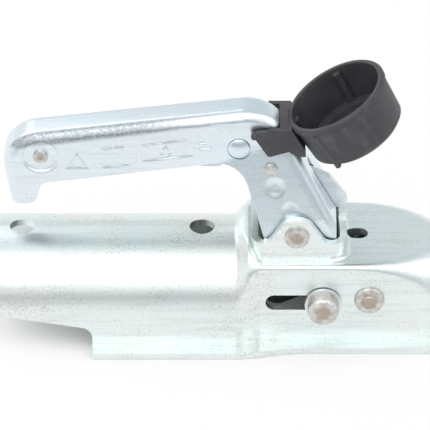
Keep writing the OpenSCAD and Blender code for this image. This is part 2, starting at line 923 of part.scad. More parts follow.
module drive_arms() {
    low = follower(handle_pivot, handle_travel, 0);
    color(raw_steel)
        for (s = [-1, 1])
            difference() {
                translate([0, s * (arm_inner + arm_t / 2), 0])
                    across(arm_t / 2) {
                        bar(handle_pivot, [-lever_pin_x, lever_pin_z], 10.5, 6.5);
                        bar(handle_pivot, low, 10.5, 8);
                    }
                cross_pin(-pin_x, pin_z, pin_d + 2 * running_gap, 30);
                cross_pin(-lever_pin_x, lever_pin_z, lever_pin_d, 30);
                across(30)
                    bar(low, follower(handle_pivot, handle_travel, 0.5),
                        slide_d / 2 + slot_gap, slide_d / 2 + slot_gap);
            }
}

// Jaw: a shoe behind and under the ball, a hub on the jaw pin and a tail with the cam slot.
jaw_gap = 0.4;
jaw_hub_half = 11;
tail_half = arm_inner - 0.5;
module jaw() {
    r = ball_d / 2 + jaw_gap;
    tail_end = follower(jaw_pivot, jaw_travel, 1);
    tail_start = follower(jaw_pivot, jaw_travel, 0);
    color(raw_steel)
        difference() {
            union() {
                intersection() {
                    sphere(r = r + shoe_wall, $fn = 96);
                    translate([-40, -19, -16])
                        cube([26, 38, 15]);
                }
                across(jaw_hub_half) {
                    translate(jaw_pivot)
                        circle(r = 8.8);
                    polygon([
                        jaw_pivot + [-6.5, -5],
                        jaw_pivot + [6, -5.5],
                        [-26, -3],
                        [-25, -11],
                        [-31, -9]
                    ]);
                }
                across(tail_half) {
                    bar(jaw_pivot, tail_start, 8.2, 8.6);
                    bar(tail_start, tail_end, 8.6, 7.6);
                }
            }
            sphere(r = r, $fn = 96);
            cross_pin(-jaw_pin_x, jaw_pin_z, jaw_pin_d + 2 * running_gap, 30);
            cam_slot(jaw_pivot, jaw_travel, 30);
        }
}

module jaw_pin() {
    color(raw_steel)
        domed_rivet(-jaw_pin_x, jaw_pin_z, jaw_pin_d, 15, box_half, 3.4);
}

// Spring hooks sit between the hub and these spacers.
hook_y = 16;
hook_room = 2 * pull_wire + 0.8;
module jaw_spacers() {
    color(raw_steel)
        tube_pair(-jaw_pin_x, jaw_pin_z, jaw_pin_d + 2 * running_gap, jaw_pin_d + 4,
            hook_y + hook_room / 2, dome_in - plate_gap);
}

washer_t = 2;
washer_d = 18.4;
// The washers keep clear of the rounding behind the box when the pin is drawn back.
washer_gap = 0.6;
slide_head_d = 15.5;
slide_head_h = 6.6;
module slide_pin() {
    seat = box_half + washer_gap + washer_t;
    color(raw_steel)
        translate([-slide_x, 0, slide_z])
            rotate([90, 0, 0])
                rotate_extrude()
                    polygon([
                        [0, -seat - slide_head_h],
                        [slide_head_d / 2 - 1.2, -seat - slide_head_h],
                        [slide_head_d / 2, -seat - slide_head_h + 1],
                        [slide_head_d / 2, -seat],
                        [slide_d / 2, -seat],
                        [slide_d / 2, seat],
                        [slide_head_d / 2, seat],
                        [slide_head_d / 2, seat + slide_head_h - 1],
                        [slide_head_d / 2 - 1.2, seat + slide_head_h],
                        [0, seat + slide_head_h]
                    ]);
}

module slide_washers() {
    color(zinc)
        tube_pair(-slide_x, slide_z, slide_d, washer_d, box_half + washer_gap, box_half + washer_gap + washer_t);
}

// Pull springs from the jaw pin back to the slide pin, one on each side of the hub.
module pull_springs() {
    coil_r = 3.4;
    coil_turns = 5;
    steps = 12;
    front_r = jaw_pin_d / 2 + pull_wire / 2 + 0.1;
    rear_r = slide_d / 2 + pull_wire / 2 + 0.1;
    x1 = -jaw_pin_x - front_r - 1.6;
    x0 = -slide_x + rear_r + 1.6;
    zm = (jaw_pin_z + slide_z) / 2;
    color(raw_steel)
        for (s = [-1, 1])
            wire([
                for (k = [0 : 14])
                    let (a = -110 + 280 * k / 14)
                        [-slide_x - rear_r * cos(a), s * hook_y, slide_z - rear_r * sin(a)],
                for (k = [0 : coil_turns * steps])
                    let (t = k / (coil_turns * steps), a = 360 * coil_turns * t)
                        [x0 + (x1 - x0) * t, s * hook_y + coil_r * sin(a), zm + coil_r * cos(a)],
                for (k = [0 : 14])
                    let (a = 10 + 280 * k / 14)
                        [-jaw_pin_x - front_r * cos(a), s * hook_y, jaw_pin_z + front_r * sin(a)]
            ], pull_wire / 2, 6);
}

housing();
handle();
handle_pin();
cross_rivet();
grip_rivet();
safety_lever();
safety_pin();
lever_spacers();
safety_spring();
plug_holder();
drive_arms();
jaw();
jaw_pin();
jaw_spacers();
slide_pin();
slide_washers();
pull_springs();
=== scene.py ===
"""Looks of a trailer coupling head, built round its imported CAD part."""
import logging
import math
from dataclasses import dataclass, field
from enum import Enum
from typing import Callable

import bmesh
import bpy
from mathutils import Matrix, Vector


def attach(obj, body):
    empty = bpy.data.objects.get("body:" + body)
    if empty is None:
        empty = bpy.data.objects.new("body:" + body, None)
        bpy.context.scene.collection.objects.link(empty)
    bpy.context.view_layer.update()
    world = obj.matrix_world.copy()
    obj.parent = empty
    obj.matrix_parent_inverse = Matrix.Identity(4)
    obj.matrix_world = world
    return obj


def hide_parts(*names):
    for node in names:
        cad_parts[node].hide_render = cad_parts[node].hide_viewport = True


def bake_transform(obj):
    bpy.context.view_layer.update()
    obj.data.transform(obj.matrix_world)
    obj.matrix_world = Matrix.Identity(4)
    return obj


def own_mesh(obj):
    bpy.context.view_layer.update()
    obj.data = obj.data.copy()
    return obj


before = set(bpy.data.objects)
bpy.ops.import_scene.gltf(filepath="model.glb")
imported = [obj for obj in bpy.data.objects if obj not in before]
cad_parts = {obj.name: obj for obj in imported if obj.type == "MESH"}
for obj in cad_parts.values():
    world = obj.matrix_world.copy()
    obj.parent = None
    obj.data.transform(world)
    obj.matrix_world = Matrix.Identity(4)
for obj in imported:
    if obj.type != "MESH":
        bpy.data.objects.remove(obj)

MM = 0.001
MERGE_DISTANCE = 0.002 * MM
SLIVER_LENGTH = 0.001 * MM
CUT_DISTANCE = 0.0005 * MM
FLAT_ANGLE = 0.3
NORMAL_WEIGHT = 80
CLOUD_MIDDLE = (0.35, 0.65)
WHITE = (1.0, 1.0, 1.0, 1.0)
LOG = logging.getLogger("coupling_head")
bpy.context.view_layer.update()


class Body(Enum):
    """Moving bodies of the part."""

    HOUSING = "housing"
    HANDLE = "handle"
    LEVER = "lever"
    SLIDE = "slide"
    JAW = "jaw"


class Slot(Enum):
    """Material slots of the record."""

    HOUSING = "zinc_housing"
    HANDLE = "zinc_handle"
    LEVER = "zinc_lever"
    RAW = "raw_steel"
    SPRING = "spring_steel"
    CASTING = "cast_jaw"
    PLASTIC = "black_plastic"


class MarkShape(Enum):
    """Plain shapes that the press leaves in a plate."""

    DISC = "disc"
    TRIANGLE = "triangle"
    FRAME = "frame"
    DROP = "drop"
    PANEL = "panel"
    BAR = "bar"


# Shader helpers


def add_node(tree: bpy.types.NodeTree, kind: str, **values: object) -> bpy.types.Node:
    """Adds a node and sets its properties and unlinked inputs.

    Args:
        tree: Node tree that takes the node.
        kind: Blender's name of the node type.
        values: Property names, or input names with spaces written as underscores.

    Returns:
        The new node.
    """
    node = tree.nodes.new(kind)
    for key, value in values.items():
        if hasattr(node, key):
            setattr(node, key, value)
        else:
            node.inputs[key.replace("_", " ")].default_value = value
    return node


def math_node(tree: bpy.types.NodeTree, operation: str, a: object, b: object = 0.0) -> bpy.types.NodeSocket:
    """Adds a Math node on sockets or numbers.

    Args:
        tree: Node tree that takes the node.
        operation: Math operation.
        a: First value, a socket or a number.
        b: Second value, a socket or a number.

    Returns:
        The value socket.
    """
    node = tree.nodes.new("ShaderNodeMath")
    node.operation = operation
    for i, value in enumerate((a, b)):
        if isinstance(value, bpy.types.NodeSocket):
            tree.links.new(value, node.inputs[i])
        else:
            node.inputs[i].default_value = value
    return node.outputs[0]


def noise(tree: bpy.types.NodeTree, vector: bpy.types.NodeSocket, scale: float, detail: float = 2.0,
          roughness: float = 0.5) -> bpy.types.NodeSocket:
    """Adds a noise texture.

    Args:
        tree: Node tree that takes the node.
        vector: Coordinates in metres.
        scale: Cells per metre.
        detail: Number of finer layers.
        roughness: Strength of the finer layers.

    Returns:
        The noise value, from 0 to 1.
    """
    node = add_node(tree, "ShaderNodeTexNoise", Scale=scale, Detail=detail, Roughness=roughness)
    tree.links.new(vector, node.inputs["Vector"])
    return node.outputs["Fac"]


def map_range(tree: bpy.types.NodeTree, value: bpy.types.NodeSocket, low: float, high: float,
              out_low: float = 0.0, out_high: float = 1.0) -> bpy.types.NodeSocket:
    """Maps a value smoothly from one range to another.

    Args:
        tree: Node tree that takes the node.
        value: Value to map.
        low: Start of the range.
        high: End of the range.
        out_low: Result at the start.
        out_high: Result at the end.

    Returns:
        The mapped value.
    """
    node = add_node(tree, "ShaderNodeMapRange", interpolation_type="SMOOTHSTEP")
    tree.links.new(value, node.inputs["Value"])
    node.inputs["From Min"].default_value = low
    node.inputs["From Max"].default_value = high
    node.inputs["To Min"].default_value = out_low
    node.inputs["To Max"].default_value = out_high
    return node.outputs["Result"]


def mix_colour(tree: bpy.types.NodeTree, factor: bpy.types.NodeSocket, a: object, b: object) -> bpy.types.NodeSocket:
    """Mixes two colours.

    Args:
        tree: Node tree that takes the node.
        factor: Share of the second colour.
        a: First colour, a socket or three numbers.
        b: Second colour, a socket or three numbers.

    Returns:
        The mixed colour.
    """
    node = tree.nodes.new("ShaderNodeMix")
    node.data_type = "RGBA"
    tree.links.new(factor, node.inputs[0])
    for value, target in ((a, node.inputs[6]), (b, node.inputs[7])):
        if isinstance(value, bpy.types.NodeSocket):
            tree.links.new(value, target)
        else:
            target.default_value = (*value, 1.0)
    return node.outputs[2]


def new_group(name: str, inputs: dict[str, float], outputs: dict[str, str]) -> tuple[
        bpy.types.NodeTree, bpy.types.Node, bpy.types.Node]:
    """Starts a shader group with object coordinates as its first input.

    Args:
        name: Name of the group.
        inputs: Names and defaults of its number inputs.
        outputs: Names and socket types of its outputs.

    Returns:
        The tree, its input node and its output node.
    """
    tree = bpy.data.node_groups.new(name, "ShaderNodeTree")
    tree.interface.new_socket("Vector", in_out="INPUT", socket_type="NodeSocketVector")
    for key, value in inputs.items():
        tree.interface.new_socket(key, in_out="INPUT", socket_type="NodeSocketFloat").default_value = value
    for key, kind in outputs.items():
        tree.interface.new_socket(key, in_out="OUTPUT", socket_type=kind)
    return tree, tree.nodes.new("NodeGroupInput"), tree.nodes.new("NodeGroupOutput")


def group_node(tree: bpy.types.NodeTree, group: bpy.types.NodeTree, vector: bpy.types.NodeSocket) -> bpy.types.Node:
    """Places a shared shader group in a material.

    Args:
        tree: Node tree of the material.
        group: Shader group.
        vector: Object coordinates.

    Returns:
        The group's node.
    """
    node = tree.nodes.new("ShaderNodeGroup")
    node.node_tree = group
    tree.links.new(vector, node.inputs["Vector"])
    return node


def seen_rays(tree: bpy.types.NodeTree) -> bpy.types.NodeSocket:
    """Tells rays of the camera, of gloss and of transmission from all others.

    Args:
        tree: Node tree of a material or the world.

    Returns:
        1 for such a ray and 0 for any other.
    """
    path = tree.nodes.new("ShaderNodeLightPath")
    through = math_node(tree, "MAXIMUM", path.outputs["Is Glossy Ray"], path.outputs["Is Transmission Ray"])
    return math_node(tree, "MAXIMUM", path.outputs["Is Camera Ray"], through)


def plating_grain() -> bpy.types.NodeTree:
    """Fine grey speckle, soft stains and drawing lines of a zinc plated pressing.

    Returns:
        A group that puts out the speckle, the stain, the lines and a bump height.
    """
    tree, given, out = new_group(
        "plating_grain", {"Speckle Size": 900.0, "Line Size": 500.0},
        {"Speckle": "NodeSocketFloat", "Stain": "NodeSocketFloat", "Lines": "NodeSocketFloat",
         "Height": "NodeSocketFloat"})
    patch_weight = 0.35
    speckle_range, stain_range = (0.72, 0.86), (0.35, 0.7)
    speckle_height, line_height = 0.6, 0.4
    line_stretch = (0.06, 1.0, 1.0)
    vector = given.outputs["Vector"]
    fine = add_node(tree, "ShaderNodeTexNoise", Detail=3.0, Roughness=0.65)
    tree.links.new(vector, fine.inputs["Vector"])
    tree.links.new(given.outputs["Speckle Size"], fine.inputs["Scale"])
    patch = noise(tree, vector, 45.0, 3.0, 0.6)
    edge = math_node(tree, "ADD", fine.outputs["Fac"], math_node(tree, "MULTIPLY", patch, patch_weight))
    speckle = map_range(tree, edge, *speckle_range)
    stain = map_range(tree, noise(tree, vector, 22.0, 2.0, 0.5), *stain_range)
    stretch = add_node(tree, "ShaderNodeMapping")
    stretch.inputs["Scale"].default_value = line_stretch
    tree.links.new(vector, stretch.inputs["Vector"])
    lines = add_node(tree, "ShaderNodeTexNoise", Detail=2.0, Roughness=0.5)
    tree.links.new(stretch.outputs["Vector"], lines.inputs["Vector"])
    tree.links.new(given.outputs["Line Size"], lines.inputs["Scale"])
    height = math_node(tree, "ADD", math_node(tree, "MULTIPLY", fine.outputs["Fac"], speckle_height),
                       math_node(tree, "MULTIPLY", lines.outputs["Fac"], line_height))
    tree.links.new(speckle, out.inputs["Speckle"])
    tree.links.new(stain, out.inputs["Stain"])
    tree.links.new(lines.outputs["Fac"], out.inputs["Lines"])
    tree.links.new(height, out.inputs["Height"])
    return tree


def edge_wear() -> bpy.types.NodeTree:
    """Pale wear along convex edges, broken up by noise.

    Returns:
        A group that puts out a wear mask.
    """
    tree, given, out = new_group("edge_wear", {"Reach": 0.5}, {"Wear": "NodeSocketFloat"})
    convex_range, broken_range = (0.52, 0.6), (0.3, 0.6)
    shape = tree.nodes.new("ShaderNodeNewGeometry")
    convex = map_range(tree, shape.outputs["Pointiness"], *convex_range)
    broken = map_range(tree, noise(tree, given.outputs["Vector"], 300.0, 2.0), *broken_range)
    wear = math_node(tree, "MULTIPLY", math_node(tree, "MULTIPLY", convex, broken), given.outputs["Reach"])
    tree.links.new(wear, out.inputs["Wear"])
    return tree


@dataclass(frozen=True)
class Groups:
    """Shader groups that several finishes share."""

    grain: bpy.types.NodeTree
    wear: bpy.types.NodeTree


@dataclass(frozen=True)
class FoldShadeBand:
    """Band along the rounded fold of a channel, in metres: its darker colour is painted shade, and its raised
    roughness gives the fold's matt, stretched finish.
    """

    x: float
    z: float
    slope: float
    half_height: float
    inner: float
    fade_from: float
    fade_to: float
    # Colour of the painted shade on the fold.
    colour: tuple[float, float, float] = (0.30, 0.32, 0.35)
    strength: float = 0.85
    core_share: float = 0.45
    side_fade: float = 0.002
    grit_scale: float = 900.0
    grit_least: float = 0.6

    def mask(self, tree: bpy.types.NodeTree) -> bpy.types.NodeSocket:
        """Adds the nodes that mask the band of painted shade.

        Args:
            tree: Node tree of the material.

        Returns:
            The mask, from 0 to 1.
        """
        place = tree.nodes.new("ShaderNodeTexCoord")
        axes = tree.nodes.new("ShaderNodeSeparateXYZ")
        tree.links.new(place.outputs["Object"], axes.inputs["Vector"])
        run = math_node(tree, "MULTIPLY", math_node(tree, "SUBTRACT", axes.outputs["X"], self.x), self.slope)
        line = math_node(tree, "ADD", run, self.z)
        away = math_node(tree, "ABSOLUTE", math_node(tree, "SUBTRACT", axes.outputs["Z"], line))
        near = map_range(tree, away, self.half_height * self.core_share, self.half_height, 1.0, 0.0)
        out = math_node(tree, "ABSOLUTE", axes.outputs["Y"])
        side = map_range(tree, out, self.inner, self.inner + self.side_fade)
        along = map_range(tree, axes.outputs["X"], self.fade_from, self.fade_to, 1.0, 0.0)
        mask = math_node(tree, "MULTIPLY", math_node(tree, "MULTIPLY", near, side), along)
        cloud = noise(tree, place.outputs["Object"], self.grit_scale, 2.0, 0.6)
        grit = map_range(tree, cloud, *CLOUD_MIDDLE, self.grit_least, 1.0)
        return math_node(tree, "MULTIPLY", math_node(tree, "MULTIPLY", mask, grit), self.strength)


@dataclass(frozen=True)
class ZincFinish:
    """Bright zinc plate over pressed steel."""

    name: str
    colour: tuple[float, float, float]
    shade: tuple[float, float, float]
    warm: tuple[float, float, float] = (0.80, 0.79, 0.70)
    roughness: float = 0.3
    stain: float = 0.5
    speckle: float = 0.55
    speckle_size: float = 900.0
    line_range: tuple[float, float] = (0.45, 0.75)
    line_shade: float = 0.22
    line_roughness: float = 0.14
    fold_roughness: float = 0.12
    grain_height: float = 0.02
    offset: tuple[float, float, float] = (0.0, 0.0, 0.0)
    # Optional band of painted shade along a fold.
    fold_shade: FoldShadeBand | None = None

    def build(self, groups: Groups) -> bpy.types.Material:
        """Makes the material.

        Args:
            groups: Shared shader groups.

        Returns:
            The material.
        """
        material, tree, shader, vector = start_material(self.name, self.offset)
        grain = group_node(tree, groups.grain, vector)
        grain.inputs["Speckle Size"].default_value = self.speckle_size
        stains = math_node(tree, "MULTIPLY", grain.outputs["Stain"], self.stain)
        stained = mix_colour(tree, stains, self.colour, self.warm)
        specks = math_node(tree, "MULTIPLY", grain.outputs["Speckle"], self.speckle)
        speckled = mix_colour(tree, specks, stained, self.shade)
        lines = map_range(tree, grain.outputs["Lines"], *self.line_range, 0.0, self.line_shade)
        lined = mix_colour(tree, lines, speckled, self.shade)
        uneven = math_node(tree, "MULTIPLY", grain.outputs["Lines"], self.line_roughness)
        rough = math_node(tree, "ADD", self.roughness, uneven)
        # Painted shade: the fold band darkens the colour along the fold and also raises its roughness there.
        if self.fold_shade:
            fold_shade_mask = self.fold_shade.mask(tree)
            lined = mix_colour(tree, fold_shade_mask, lined, self.fold_shade.colour)
            rough = math_node(tree, "ADD", rough, math_node(tree, "MULTIPLY", fold_shade_mask, self.fold_roughness))
        tree.links.new(lined, shader.inputs["Base Color"])
        tree.links.new(rough, shader.inputs["Roughness"])
        shader.inputs["Metallic"].default_value = 1.0
        add_bump(tree, shader, grain.outputs["Height"], self.grain_height)
        return material


@dataclass(frozen=True)
class SteelFinish:
    """Bare, oiled or cast steel."""

    name: str
    colour: tuple[float, float, float]
    dark: tuple[float, float, float]
    roughness: float = 0.42
    metallic: float = 1.0
    scale: float = 350.0
    height: float = 0.05
    uneven: float = 0.2
    worn_gain: float = 1.35
    spots: tuple[tuple[float, float, float], ...] = ()
    spot_colour: tuple[float, float, float] = (0.44, 0.35, 0.27)
    spot_strength: float = 0.75
    spot_ragged: float = 0.8
    spot_fade: tuple[float, float] = (1.0, 1.5)

    def build(self, groups: Groups) -> bpy.types.Material:
        """Makes the material.

        Args:
            groups: Shared shader groups.

        Returns:
            The material.
        """
        material, tree, shader, vector = start_material(self.name, (0.0, 0.0, 0.0))
        cloud = noise(tree, vector, self.scale, 4.0, 0.6)
        colour = mix_colour(tree, map_range(tree, cloud, *CLOUD_MIDDLE), self.dark, self.colour)
        for spot in self.spots:
            colour = mix_colour(tree, self.spot_mask(tree, vector, cloud, spot), colour, self.spot_colour)
        wear = group_node(tree, groups.wear, vector)
        bright = tuple(min(1.0, c * self.worn_gain) for c in self.colour)
        tree.links.new(mix_colour(tree, wear.outputs["Wear"], colour, bright), shader.inputs["Base Color"])
        rough = math_node(tree, "ADD", self.roughness, math_node(tree, "MULTIPLY", cloud, self.uneven))
        tree.links.new(rough, shader.inputs["Roughness"])
        shader.inputs["Metallic"].default_value = self.metallic
        add_bump(tree, shader, noise(tree, vector, self.scale * 3.0, 3.0), self.height)
        return material

    def spot_mask(self, tree: bpy.types.NodeTree, vector: bpy.types.NodeSocket, cloud: bpy.types.NodeSocket,
                  spot: tuple[float, float, float]) -> bpy.types.NodeSocket:
        """Adds the nodes that mask the stained middle of a pin's end.

        Args:
            tree: Node tree of the material.
            vector: Object coordinates.
            cloud: Noise that breaks up the stain's rim.
            spot: X and Z of the pin and the radius of the stain, in millimetres.

        Returns:
            The mask, from 0 to 1.
        """
        axes = tree.nodes.new("ShaderNodeSeparateXYZ")
        tree.links.new(vector, axes.inputs["Vector"])
        u = math_node(tree, "SUBTRACT", axes.outputs["X"], spot[0] * MM)
        v = math_node(tree, "SUBTRACT", axes.outputs["Z"], spot[1] * MM)
        square = math_node(tree, "ADD", math_node(tree, "MULTIPLY", u, u), math_node(tree, "MULTIPLY", v, v))
        away = math_node(tree, "MULTIPLY", math_node(tree, "SQRT", square), 1.0 / (spot[2] * MM))
        ragged = math_node(tree, "ADD", away, math_node(tree, "MULTIPLY", cloud, self.spot_ragged))
        return map_range(tree, ragged, *self.spot_fade, self.spot_strength, 0.0)


@dataclass(frozen=True)
class PlasticFinish:
    """Fine grained black moulding."""

    name: str
    colour: tuple[float, float, float]
    worn: tuple[float, float, float]
    roughness: float = 0.42
    grain: float = 1400.0
    height: float = 0.05
    mottle_scale: float = 60.0
    mottle_range: tuple[float, float] = (0.3, 0.75)
    mottle: float = 0.5
    uneven_scale: float = 90.0
    uneven: float = 0.16

    def build(self, groups: Groups) -> bpy.types.Material:
        """Makes the material.

        Args:
            groups: Shared shader groups.

        Returns:
            The material.
        """
        material, tree, shader, vector = start_material(self.name, (0.0, 0.0, 0.0))
        wear = group_node(tree, groups.wear, vector)
        cloud = map_range(tree, noise(tree, vector, self.mottle_scale, 3.0), *self.mottle_range, 0.0, self.mottle)
        mottled = mix_colour(tree, cloud, self.colour, self.worn)
        tree.links.new(mix_colour(tree, wear.outputs["Wear"], mottled, self.worn), shader.inputs["Base Color"])
        uneven = math_node(tree, "MULTIPLY", noise(tree, vector, self.uneven_scale, 2.0), self.uneven)
        rough = math_node(tree, "ADD", self.roughness, uneven)
        tree.links.new(rough, shader.inputs["Roughness"])
        add_bump(tree, shader, noise(tree, vector, self.grain, 2.0), self.height)
        return material


def start_material(name: str, offset: tuple[float, float, float]) -> tuple[
        bpy.types.Material, bpy.types.NodeTree, bpy.types.Node, bpy.types.NodeSocket]:
    """Starts a material on object coordinates.

    Args:
        name: Name of the material.
        offset: Shift of the pattern in metres.

    Returns:
        The material, its tree, its Principled node and the coordinates.
    """
    material = bpy.data.materials.new(name)
    material.use_nodes = True
    tree = material.node_tree
    shader = tree.nodes["Principled BSDF"]
    place = tree.nodes.new("ShaderNodeTexCoord")
    shift = add_node(tree, "ShaderNodeMapping")
    shift.inputs["Location"].default_value = offset
    tree.links.new(place.outputs["Object"], shift.inputs["Vector"])
    return material, tree, shader, shift.outputs["Vector"]


def add_bump(tree: bpy.types.NodeTree, shader: bpy.types.Node, height: bpy.types.NodeSocket, depth: float) -> None:
    """Adds a bump under a shader.

    Args:
        tree: Node tree of the material.
        shader: Principled node.
        height: Height from 0 to 1.
        depth: Depth of the pattern in millimetres.
    """
    bump = add_node(tree, "ShaderNodeBump", Strength=1.0, Distance=depth * MM)
    tree.links.new(height, bump.inputs["Height"])
    tree.links.new(bump.outputs["Normal"], shader.inputs["Normal"])


# Mesh helpers


def merged_copy(node: str) -> bmesh.types.BMesh:
    """Copies a CAD node's mesh, joins its triangles and makes its flat faces whole.

    Args:
        node: Name of the CAD node.

    Returns:
        The copy as a bmesh in metres.
    """
    bm = bmesh.new()
    bm.from_mesh(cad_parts[node].data)
    bmesh.ops.remove_doubles(bm, verts=bm.verts, dist=MERGE_DISTANCE)
    bmesh.ops.dissolve_degenerate(bm, dist=SLIVER_LENGTH, edges=bm.edges)
    bmesh.ops.dissolve_limit(bm, angle_limit=math.radians(FLAT_ANGLE), use_dissolve_boundaries=False,
                             verts=bm.verts, edges=bm.edges, delimit={"NORMAL"})
    return bm


def sharp_edges(bm: bmesh.types.BMesh, angle: float) -> list[bmesh.types.BMEdge]:
    """Lists the edges that turn by more than an angle in degrees."""
    limit = math.radians(angle)
    return [e for e in bm.edges if len(e.link_faces) == 2 and e.calc_face_angle(0.0) > limit]


def soften(bm: bmesh.types.BMesh, width: float, angle: float = 32.0, segments: int = 2) -> None:
    """Rounds the sharp edges. The bevel narrows the whole rounding to fit the shortest edge that it meets.

    Args:
        bm: Mesh to change.
        width: Greatest width of the rounding in millimetres.
        angle: Least turn of an edge that is rounded, in degrees.
        segments: Faces across the rounding.
    """
    bmesh.ops.bevel(bm, geom=sharp_edges(bm, angle), offset=width * MM, offset_type="OFFSET", segments=segments,
                    profile=0.5, affect="EDGES", clamp_overlap=True, material=-1, loop_slide=True)


def add_object(name: str, data: bpy.types.ID) -> bpy.types.Object:
    """Makes an object and links it to the scene.

    Args:
        name: Name of the object.
        data: Its mesh, lamp or camera.

    Returns:
        The object.
    """
    made = bpy.data.objects.new(name, data)
    bpy.context.scene.collection.objects.link(made)
    return made


def finish_piece(bm: bmesh.types.BMesh, name: str, body: Body | None, material: bpy.types.Material,
                 replaced: str = "", angle: float = 38.0) -> bpy.types.Object:
    """Makes an object of a mesh, dresses it and lets it ride on its body.

    Args:
        bm: Finished mesh in metres, which is freed.
        name: Name of the piece.
        body: Body that it rides on, or None for a piece that rides on no body.
        material: Its material.
        replaced: CAD node that it stands for.
        angle: Least turn of an edge that stays sharp in the shading, in degrees.

    Returns:
        The object.
    """
    for face in bm.faces:
        face.smooth = True
    for edge in bm.edges:
        edge.smooth = not (len(edge.link_faces) == 2 and edge.calc_face_angle(0.0) > math.radians(angle))
    mesh = bpy.data.meshes.new(name)
    bm.to_mesh(mesh)
    bm.free()
    piece = add_object(name, mesh)
    mesh.materials.append(material)
    weigh = piece.modifiers.new("even_normals", "WEIGHTED_NORMAL")
    weigh.keep_sharp = True
    weigh.weight = NORMAL_WEIGHT
    if body:
        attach(piece, body.value)
    if replaced:
        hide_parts(replaced)
    LOG.info("%s: %d faces on %s", name, len(mesh.polygons), body.value if body else "two bodies")
    return piece


def spun(profile: list[tuple[float, float]], place: Matrix, steps: int) -> bmesh.types.BMesh:
    """Turns a profile once round an axis.

    Args:
        profile: Points of radius and height in millimetres; the ends lie on the axis or the outline is closed.
        place: Where the axis goes, in millimetres.
        steps: Number of steps of the turn.

    Returns:
        The turned mesh in metres.
    """
    bm = bmesh.new()
    verts = [bm.verts.new((r * MM, 0.0, h * MM)) for r, h in profile]
    edges = [bm.edges.new((a, b)) for a, b in zip(verts, verts[1:])]
    bmesh.ops.spin(bm, geom=verts + edges, cent=(0, 0, 0), axis=(0, 0, 1), angle=2 * math.pi, steps=steps,
                   use_merge=True, use_duplicate=False)
    bmesh.ops.remove_doubles(bm, verts=bm.verts, dist=MERGE_DISTANCE)
    bmesh.ops.recalc_face_normals(bm, faces=bm.faces)
    bmesh.ops.transform(bm, matrix=scaled_place(place), verts=bm.verts)
    return bm


def scaled_place(place: Matrix) -> Matrix:
    """Turns a placement in millimetres into one in metres.

    Args:
        place: Placement in millimetres.

    Returns:
        The placement in metres.
    """
    matrix = place.copy()
    matrix.translation = matrix.translation * MM
    return matrix


def across_place(x: float, y: float, z: float, side: int) -> Matrix:
    """Placement whose Z axis points out of one side of the part.

    Args:
        x: Place along X in millimetres.
        y: Distance from the middle in millimetres.
        z: Place along Z in millimetres.
        side: -1 for the near side and 1 for the far side.

    Returns:
        The placement.
    """
    turn = Matrix.Rotation(math.radians(-90.0 * side), 4, "X")
    return Matrix.Translation((x, side * y, z)) @ turn


@dataclass(frozen=True)
class PressMark:
    """One shape that the press leaves in a plate, seen from the side, in millimetres."""

    shape: MarkShape
    x: float
    z: float
    size: float
    depth: float
    height: float = 0.0
    turn: float = 0.0
    line: float = 0.5
    soft: float = 0.8
    drop_tip: float = 0.8
    room: float = 0.9
    turned_room: float = 1.2

    def box(self) -> tuple[tuple[float, float], tuple[float, float]]:
        """Rectangle of the side view that holds the shape with its soft edge.

        Returns:
            Its least and its greatest X and Z in millimetres.
        """
        half = self.size * (self.drop_tip if self.shape is MarkShape.DROP else 0.5) + self.soft / 2 + self.room
        tall = half
        if self.height:
            tall = self.height / 2 + half * abs(math.sin(math.radians(self.turn))) + self.turned_room
        return (self.x - half, self.z - tall), (self.x + half, self.z + tall)

    def depth_at(self, x: float, z: float) -> float:
        """Depth of the pressing at a place.

        Args:
            x: Place along X in millimetres.
            z: Place along Z in millimetres.

        Returns:
            The depth in millimetres.
        """
        c, s = math.cos(math.radians(self.turn)), math.sin(math.radians(self.turn))
        u = (x - self.x) * c + (z - self.z) * s
        v = (z - self.z) * c - (x - self.x) * s
        return self.depth * smooth_step((self.line - self.reach(u, v)) / self.soft + 0.5)

    def reach(self, u: float, v: float) -> float:
        """Distance from the shape's line, or for a filled shape from its edge.

        Args:
            u: Place along the shape's own X in millimetres.
            v: Place along the shape's own Z in millimetres.

        Returns:
            The distance in millimetres.
        """
        half = self.size / 2
        if self.shape is MarkShape.DISC:
            return self.line + math.hypot(u, v) - half
        if self.shape is MarkShape.TRIANGLE:
            corners = [(-half, -half * 0.8), (half, -half * 0.8), (0.0, half * 0.95)]
            return min(segment_distance(u, v, corners[i], corners[(i + 1) % 3]) for i in range(3))
        if self.shape is MarkShape.FRAME:
            tall = self.height / 2
            rim = abs(max(abs(u) - half, abs(v) - tall))
            return min(rim, segment_distance(u, v, (0.0, -tall), (0.0, tall)))
        if self.shape is MarkShape.PANEL:
            return abs(max(abs(u) - half, abs(v) - self.height / 2))
        if self.shape is MarkShape.DROP:
            point = (0.0, self.size * self.drop_tip)
            left, right = (-half * 0.93, half * 0.35), (half * 0.93, half * 0.35)
            ring = abs(math.hypot(u, v) - half) if v < half * 0.35 else half
            return min(ring, segment_distance(u, v, left, point), segment_distance(u, v, right, point))
        return segment_distance(u, v, (-half, 0.0), (half, 0.0))


def smooth_step(t: float) -> float:
    """Smooth step from 0 to 1."""
    t = min(1.0, max(0.0, t))
    return t * t * (3.0 - 2.0 * t)


def segment_distance(u: float, v: float, a: tuple[float, float], b: tuple[float, float]) -> float:
    """Distance from a point to a straight line piece.

    Args:
        u: First coordinate of the point.
        v: Second coordinate of the point.
        a: Start of the line piece.
        b: End of the line piece.

    Returns:
        The distance.
    """
    dx, dy = b[0] - a[0], b[1] - a[1]
    t = ((u - a[0]) * dx + (v - a[1]) * dy) / (dx * dx + dy * dy)
    t = min(1.0, max(0.0, t))
    return math.hypot(u - a[0] - t * dx, v - a[1] - t * dy)


